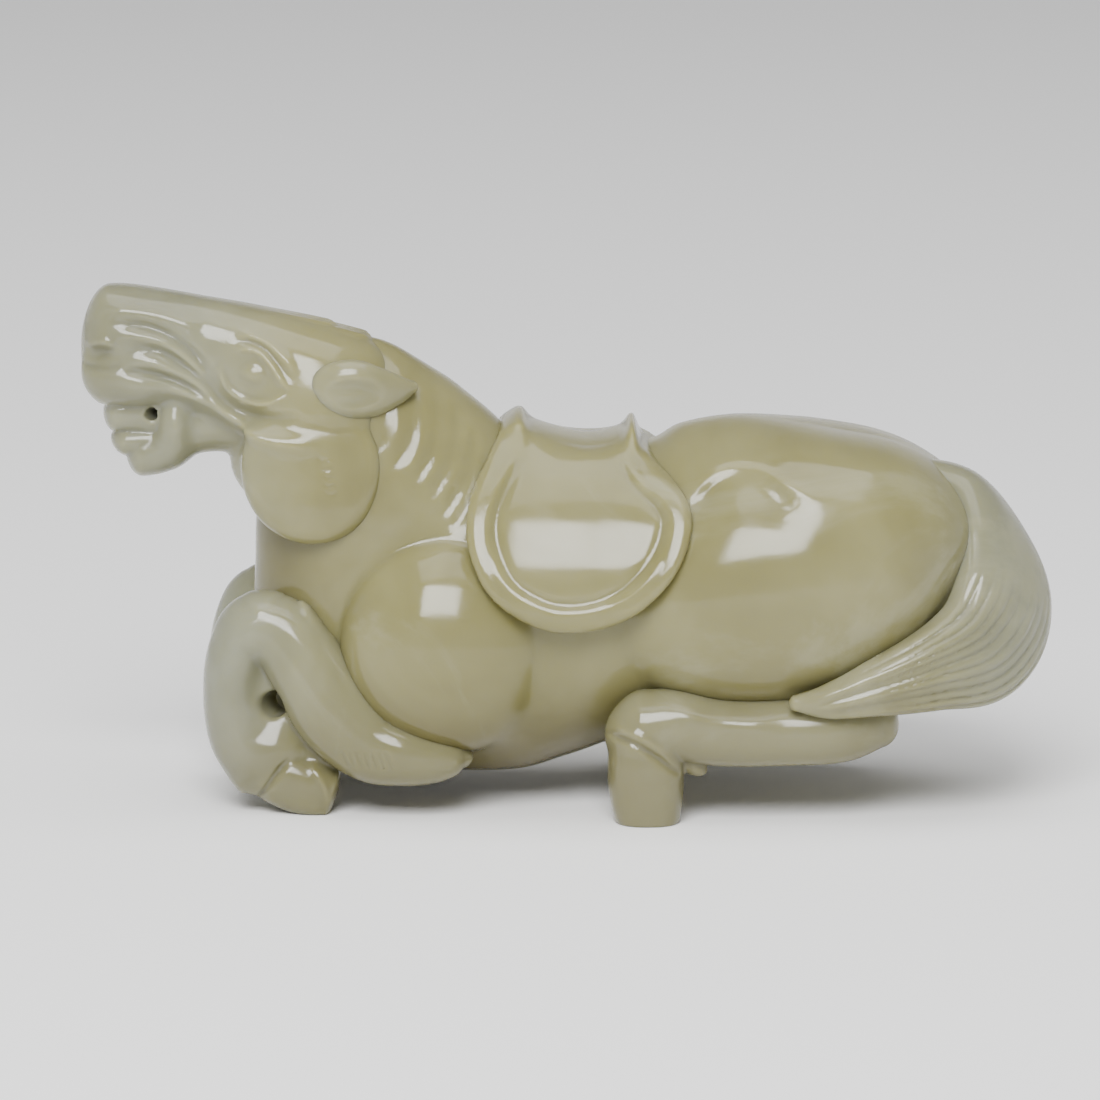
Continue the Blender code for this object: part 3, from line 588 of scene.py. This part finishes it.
def body_shell(points):
    """The body without its fine cutting, for what is fitted to it."""
    both = flanks(points)
    return unite(loft(points, BARREL, BARREL_CAPS, boxy=2.15), egg(both, *HAUNCH, tilt=14), 2.0)


EAR = Sweep([
    (-27.6, -7.5, 46.0, 1.5, 1.3, -14), (-26.3, -8.0, 46.5, 2.9, 1.8, -8),
    (-23.6, -8.4, 46.9, 3.4, 2.0, 0), (-20.8, -8.2, 46.8, 2.8, 1.7, 4),
    (-18.4, -7.7, 46.9, 1.7, 1.3, 6), (-16.8, -7.2, 47.1, 0.7, 0.8, 8),
], caps=(1.0, 0.6))


def ear_field(points):
    """A laid-back ear: a leaf, hollowed inside its rim."""
    field = EAR.field(points, boxy=2.3)
    hollow = egg(points, (-22.6, -11.3, 46.8), (4.8, 1.7, 2.0), tilt=-1)
    field = carve(field, hollow, 0.5)
    return unite(field, egg(points, (-24.0, -8.9, 46.5), (2.6, 1.0, 0.9)), 0.8)


# ---- Skinning -------------------------------------------------------------------------------------
def skin(field, low, high, pitch):
    """Vertices and quads of the surface where the field is zero, inside a box."""
    pitch *= COARSE
    step = 4
    counts = [int(math.ceil((h - l) / pitch / step)) * step + 1 for l, h in zip(low, high)]
    axes = [l + pitch * np.arange(n) for l, n in zip(low, counts)]
    rough = np.stack(np.meshgrid(*[axis[::step] for axis in axes], indexing="ij"), -1)
    shape = rough.shape[:3]
    rough_field = evaluate(field, rough.reshape(-1, 3)).reshape(shape)
    values = np.repeat(np.repeat(np.repeat(rough_field, step, 0), step, 1), step, 2)
    values = values[:counts[0], :counts[1], :counts[2]].astype(np.float32)
    corners = [rough_field[i:shape[0] - 1 + i, j:shape[1] - 1 + j, k:shape[2] - 1 + k]
               for i in (0, 1) for j in (0, 1) for k in (0, 1)]
    nearest = np.min(np.abs(corners), axis=0)
    blocks = np.argwhere(nearest < 1.15 * step * pitch)
    wanted = np.zeros(counts, bool)
    for i, j, k in blocks * step:
        wanted[i:i + step + 1, j:j + step + 1, k:k + step + 1] = True
    chosen = np.argwhere(wanted)
    values[wanted] = evaluate(field, np.asarray(low) + pitch * chosen)
    return surface_nets(values, low, pitch)


def evaluate(field, points):
    """The field at the points, worked out a share at a time."""
    share = 6 * BATCH
    return np.concatenate([field(points[first:first + share])
                           for first in range(0, len(points), share)])


def surface_nets(values, low, pitch):
    """One vertex in each cell that the surface crosses, and a quad across each crossed edge."""
    inside = values < 0
    crossed = np.zeros(np.array(values.shape) - 1, bool)
    corners = [(i, j, k) for i in (0, 1) for j in (0, 1) for k in (0, 1)]
    total = np.zeros(crossed.shape, np.int8)
    nx, ny, nz = crossed.shape
    for i, j, k in corners:
        total += inside[i:nx + i, j:ny + j, k:nz + k]
    crossed = (total > 0) & (total < 8)
    cells = np.argwhere(crossed)
    at = {corner: values[tuple((cells + corner).T)] for corner in corners}
    summed = np.zeros((len(cells), 3))
    count = np.zeros(len(cells))
    for corner in corners:
        for axis in range(3):
            if corner[axis]:
                continue
            other = tuple(c + (a == axis) for a, c in enumerate(corner))
            first, second = at[corner], at[other]
            cut = (first < 0) != (second < 0)
            share = np.where(cut, first / np.where(cut, first - second, 1), 0)
            position = np.repeat([corner], len(cells), 0).astype(float)
            position[:, axis] += share
            summed += position * cut[:, None]
            count += cut
    vertices = np.asarray(low) + pitch * (cells + summed / count[:, None])
    number = np.full(crossed.shape, -1, np.int32)
    number[tuple(cells.T)] = np.arange(len(cells))
    quads = []
    for axis in range(3):
        a, b = (axis + 1) % 3, (axis + 2) % 3
        first = inside[tuple(slice(0, -1) if d == axis else slice(None) for d in range(3))]
        second = inside[tuple(slice(1, None) if d == axis else slice(None) for d in range(3))]
        edges = np.argwhere(first != second)
        edges = edges[(edges[:, a] > 0) & (edges[:, b] > 0)]
        edges = edges[(edges[:, a] < crossed.shape[a]) & (edges[:, b] < crossed.shape[b])]
        around = []
        for da, db in ((1, 1), (0, 1), (0, 0), (1, 0)):
            cell = edges.copy()
            cell[:, a] -= da
            cell[:, b] -= db
            around.append(number[tuple(cell.T)])
        quad = np.stack(around, 1)
        flip = ~first[tuple(edges.T)]
        quad[flip] = quad[flip][:, ::-1]
        quads.append(quad)
    return vertices, np.concatenate(quads)


def settle(field, vertices, quads, pitch, rounds=3):
    """Slides the vertices evenly over the surface, and then exactly onto it."""
    pitch *= COARSE
    pairs = np.concatenate([quads[:, [0, 1]], quads[:, [1, 2]], quads[:, [2, 3]], quads[:, [3, 0]]])
    for turn in range(rounds):
        if turn < rounds - 1:
            total = np.zeros_like(vertices)
            count = np.zeros(len(vertices))
            for first, second in ((0, 1), (1, 0)):
                for axis in range(3):
                    total[:, axis] += np.bincount(pairs[:, first], vertices[pairs[:, second], axis],
                                                  len(vertices))
                count += np.bincount(pairs[:, first], minlength=len(vertices))
            pull = total / count[:, None] - vertices
            normal = slope_of(field, vertices)[1]
            normal /= np.maximum(np.linalg.norm(normal, axis=1), 1e-6)[:, None]
            vertices = vertices + 0.6 * (pull - (pull * normal).sum(1)[:, None] * normal)
        value, slope = slope_of(field, vertices)
        move = value[:, None] * slope / np.maximum((slope ** 2).sum(1), 0.05)[:, None]
        length = np.linalg.norm(move, axis=1)
        move *= np.minimum(1, 0.5 * pitch / np.maximum(length, 1e-9))[:, None]
        vertices = vertices - move
    return vertices


def slope_of(field, points, reach=0.02):
    """The field and its slope at the points."""
    value = evaluate(field, points)
    slope = np.stack([
        (evaluate(field, points + reach * unit) - evaluate(field, points - reach * unit)) / (2 * reach)
        for unit in np.eye(3)
    ], 1)
    return value, slope


def make_piece(name, field, low, high, pitch, nodes, stone, mirrored=False):
    """Skins a field, and makes it a piece that stands for CAD nodes."""
    vertices, quads = skin(field, low, high, pitch)
    vertices = settle(field, vertices, quads, pitch)
    if mirrored:
        vertices[:, 1] *= -1
        quads = quads[:, ::-1]
    mesh = bpy.data.meshes.new(name)
    mesh.from_pydata((vertices * FIT / 1000).tolist(), [], quads.tolist())
    mesh.shade_smooth()
    piece = bpy.data.objects.new(name, mesh)
    bpy.context.scene.collection.objects.link(piece)
    piece.data.materials.append(stone)
    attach(piece, "root")
    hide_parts(*nodes)
    print(f"{name}: {len(vertices)} vertices, {len(quads)} quads", flush=True)
    return piece


# ---- Jade -----------------------------------------------------------------------------------------
# Each pair is the darker and the lighter cloud of one stone.
WARM_STONE = ((0.19, 0.176, 0.072, 1), (0.236, 0.221, 0.102, 1))
MILKY_STONE = ((0.19, 0.194, 0.135, 1), (0.243, 0.25, 0.188, 1))
VEIN = (0.33, 0.325, 0.215, 1)
# Olive of the stone's clouds, also used for the painted shade low down and at the throat.
OLIVE_STONE_AND_SHADE = (0.105, 0.088, 0.028, 1)
NEPHRITE_IOR = 1.62


def jade_material(name, paleness, depth, throat=0.0):
    """Polished nephrite: cloudy celadon, milky at muzzle and rump, with olive painted shade low down.

    paleness: share of milky stone everywhere. depth: share of olive painted shade at the ground.
    throat: share of olive painted shade at the throat and chest.
    """
    material = bpy.data.materials.new(name)
    material.use_nodes = True
    nodes, links = material.node_tree.nodes, material.node_tree.links
    shader = nodes["Principled BSDF"]
    place = nodes.new("ShaderNodeTexCoord").outputs["Object"]

    def noise(scale, detail, roughness=0.5, distortion=0.0):
        node = nodes.new("ShaderNodeTexNoise")
        node.inputs["Scale"].default_value = scale
        node.inputs["Detail"].default_value = detail
        node.inputs["Roughness"].default_value = roughness
        node.inputs["Distortion"].default_value = distortion
        links.new(place, node.inputs["Vector"])
        return node.outputs["Fac"]

    def spread(value, low, high, to_low=0.0, to_high=1.0):
        node = nodes.new("ShaderNodeMapRange")
        node.interpolation_type = "SMOOTHSTEP"
        for socket, setting in zip(("From Min", "From Max", "To Min", "To Max"),
                                   (low, high, to_low, to_high)):
            node.inputs[socket].default_value = setting
        links.new(value, node.inputs["Value"])
        return node.outputs["Result"]

    def blend(share, first, second):
        node = nodes.new("ShaderNodeMix")
        node.data_type = "RGBA"
        for socket, value in ((node.inputs["Factor"], share), (node.inputs["A"], first),
                              (node.inputs["B"], second)):
            if isinstance(value, (tuple, float)):
                socket.default_value = value
            else:
                links.new(value, socket)
        return node.outputs["Result"]

    def add(first, second):
        node = nodes.new("ShaderNodeMath")
        node.use_clamp = True
        for socket, value in zip(node.inputs, (first, second)):
            if isinstance(value, float):
                socket.default_value = value
            else:
                links.new(value, socket)
        return node.outputs["Value"]

    split = nodes.new("ShaderNodeSeparateXYZ")
    links.new(place, split.inputs["Vector"])
    muzzle = spread(split.outputs["X"], -0.026, -0.044, 0.0, 0.75)
    rump = spread(split.outputs["X"], 0.036, 0.050, 0.0, 0.5)
    pale = add(add(muzzle, rump), float(paleness))
    # Painted shade: the stone turns olive towards the ground, under the belly and at the feet.
    low = spread(split.outputs["Z"], 0.019, 0.003, 0.0, float(depth))
    # Painted shade: the stone turns olive at the throat and chest, in front of the neck.
    painted_throat_shade = spread(split.outputs["X"], -0.024, -0.032, 0.0, float(throat))
    deep = add(add(low, painted_throat_shade), spread(noise(38, 2), 0.45, 0.8, 0.0, 0.25))
    cloud = spread(noise(55, 3, 0.55, 0.6), 0.34, 0.68)
    vein = spread(noise(26, 6, 0.62, 1.6), 0.52, 0.66, 0.0, 0.35)
    colour = blend(pale, blend(cloud, *WARM_STONE), blend(cloud, *MILKY_STONE))
    colour = blend(vein, colour, VEIN)
    # deep is the stone's random olive clouds plus the painted shade at the ground and throat.
    colour = blend(deep, colour, OLIVE_STONE_AND_SHADE)
    links.new(colour, shader.inputs["Base Color"])
    links.new(spread(noise(210, 4, 0.6), 0.3, 0.7, 0.1, 0.18), shader.inputs["Roughness"])
    shader.inputs["IOR"].default_value = NEPHRITE_IOR
    shader.inputs["Specular IOR Level"].default_value = 0.32
    shader.inputs["Subsurface Weight"].default_value = 0.85
    shader.inputs["Subsurface Radius"].default_value = (1.0, 0.92, 0.5)
    shader.inputs["Subsurface Scale"].default_value = 0.0026
    polish = nodes.new("ShaderNodeBump")
    polish.inputs["Strength"].default_value = 0.06
    polish.inputs["Distance"].default_value = 0.0002
    links.new(noise(700, 3, 0.6), polish.inputs["Height"])
    links.new(polish.outputs["Normal"], shader.inputs["Normal"])
    return material


# The third number and throat set the painted shade, olive low down and at the throat; it is strongest
# on the body.
JADE = jade_material("celadon nephrite", 0.0, 0.5)
BODY_JADE = jade_material("celadon nephrite with painted shade", 0.0, 1.0, throat=0.5)
LEG_JADE = jade_material("grey celadon nephrite", 0.4, 0.4)
PALE_JADE = jade_material("pale celadon nephrite", 0.35, 0.3)

make_piece("horse_body", body_field, (-36.5, -22, 1.5), (51.5, 22, 54), PITCH["body"],
           ["torso", "neck"], BODY_JADE)
make_piece("horse_head", head_field, (-55, -14, 28), (-15, 14, 59), PITCH["head"], ["head"], JADE)
make_piece("saddle", saddle_field, (-12, -22, 20), (15, 22, 45), PITCH["saddle"], ["saddle"], JADE)
make_piece("tail", tail_field, (22, -23, 10), (56, 6, 42), PITCH["tail"], ["tail"], PALE_JADE)
for side, is_far in (("left", False), ("right", True)):
    make_piece(f"{side}_ear", ear_field, (-30, -12, 42), (-15, -5, 52), PITCH["ear"],
               [f"{side}_ear"], PALE_JADE, is_far)
    make_piece(f"{side}_foreleg", foreleg_field, (-42, -18, -0.5), (-6, -3, 27), PITCH["leg"],
               [f"{side}_foreleg"], LEG_JADE, is_far)
    make_piece(f"{side}_hind_leg", hind_leg_field, (2, -20, -0.5), (39, -7, 17), PITCH["leg"],
               [f"{side}_hind_leg"], LEG_JADE, is_far)


# ---- Floor, light and camera ----------------------------------------------------------------------
FLOOR_HALF = 3.0
FLOOR_WHITE = (0.93, 0.93, 0.93, 1)
LIT_POINT = Vector((0, 0, 0.025))
# The camera's distance, its angle over the floor, what it looks at, and the width it frames there.
CAMERA_DISTANCE = 0.9
CAMERA_ELEVATION = math.radians(10)
CAMERA_TARGET = Vector((-0.0017, 0, 0.0276))
CAMERA_FRAMES = 0.1223


def make_floor():
    """A plain pale floor."""
    mesh = bpy.data.meshes.new("floor")
    corners = [(x * FLOOR_HALF, y * FLOOR_HALF, 0) for x, y in ((-1, -1), (1, -1), (1, 1), (-1, 1))]
    mesh.from_pydata(corners, [], [(0, 1, 2, 3)])
    material = bpy.data.materials.new("pale floor")
    material.use_nodes = True
    shader = material.node_tree.nodes["Principled BSDF"]
    shader.inputs["Base Color"].default_value = FLOOR_WHITE
    shader.inputs["Roughness"].default_value = 0.8
    mesh.materials.append(material)
    floor = bpy.data.objects.new("floor", mesh)
    bpy.context.scene.collection.objects.link(floor)


def make_softbox(name, azimuth, elevation, distance, size, power):
    """A rectangular light. Azimuth 0 is on the camera's side, and 90 is over the rump."""
    light = bpy.data.lights.new(name, "AREA")
    light.shape = "RECTANGLE"
    light.size, light.size_y = size
    light.energy = power
    softbox = bpy.data.objects.new(name, light)
    bpy.context.scene.collection.objects.link(softbox)
    a, e = math.radians(azimuth), math.radians(elevation)
    direction = Vector((math.sin(a) * math.cos(e), -math.cos(a) * math.cos(e), math.sin(e)))
    softbox.location = LIT_POINT + direction * distance
    softbox.rotation_euler = direction.to_track_quat("Z", "Y").to_euler()


def make_world(overhead, horizon):
    """A studio that is as bright as the floor at its level, and dimmer overhead."""
    world = bpy.data.worlds.new("studio")
    world.use_nodes = True
    nodes, links = world.node_tree.nodes, world.node_tree.links
    place = nodes.new("ShaderNodeTexCoord")
    split = nodes.new("ShaderNodeSeparateXYZ")
    links.new(place.outputs["Generated"], split.inputs["Vector"])
    height = nodes.new("ShaderNodeMapRange")
    height.interpolation_type = "SMOOTHSTEP"
    for socket, value in (("From Min", 0.0), ("From Max", 0.55),
                          ("To Min", horizon), ("To Max", overhead)):
        height.inputs[socket].default_value = value
    links.new(split.outputs["Z"], height.inputs["Value"])
    links.new(height.outputs["Result"], nodes["Background"].inputs["Strength"])
    nodes["Background"].inputs["Color"].default_value = (1, 1, 1, 1)
    bpy.context.scene.world = world


def make_camera():
    """A long lens a little above the carving, square to its left flank."""
    camera = bpy.data.cameras.new("camera")
    camera.sensor_width = 36
    camera.lens = camera.sensor_width * CAMERA_DISTANCE / CAMERA_FRAMES
    camera.clip_start = 0.01
    camera.clip_end = 20
    made = bpy.data.objects.new("camera", camera)
    bpy.context.scene.collection.objects.link(made)
    direction = Vector((0, -math.cos(CAMERA_ELEVATION), math.sin(CAMERA_ELEVATION)))
    made.location = CAMERA_TARGET + direction * CAMERA_DISTANCE
    made.rotation_euler = direction.to_track_quat("Z", "Y").to_euler()
    bpy.context.scene.camera = made


make_floor()
make_world(0.18, 1.0)
make_softbox("key", -9, 41, 1.2, (0.64, 0.64), 25)
make_softbox("top", 0, 88, 1.3, (1.1, 1.1), 12)
make_camera()
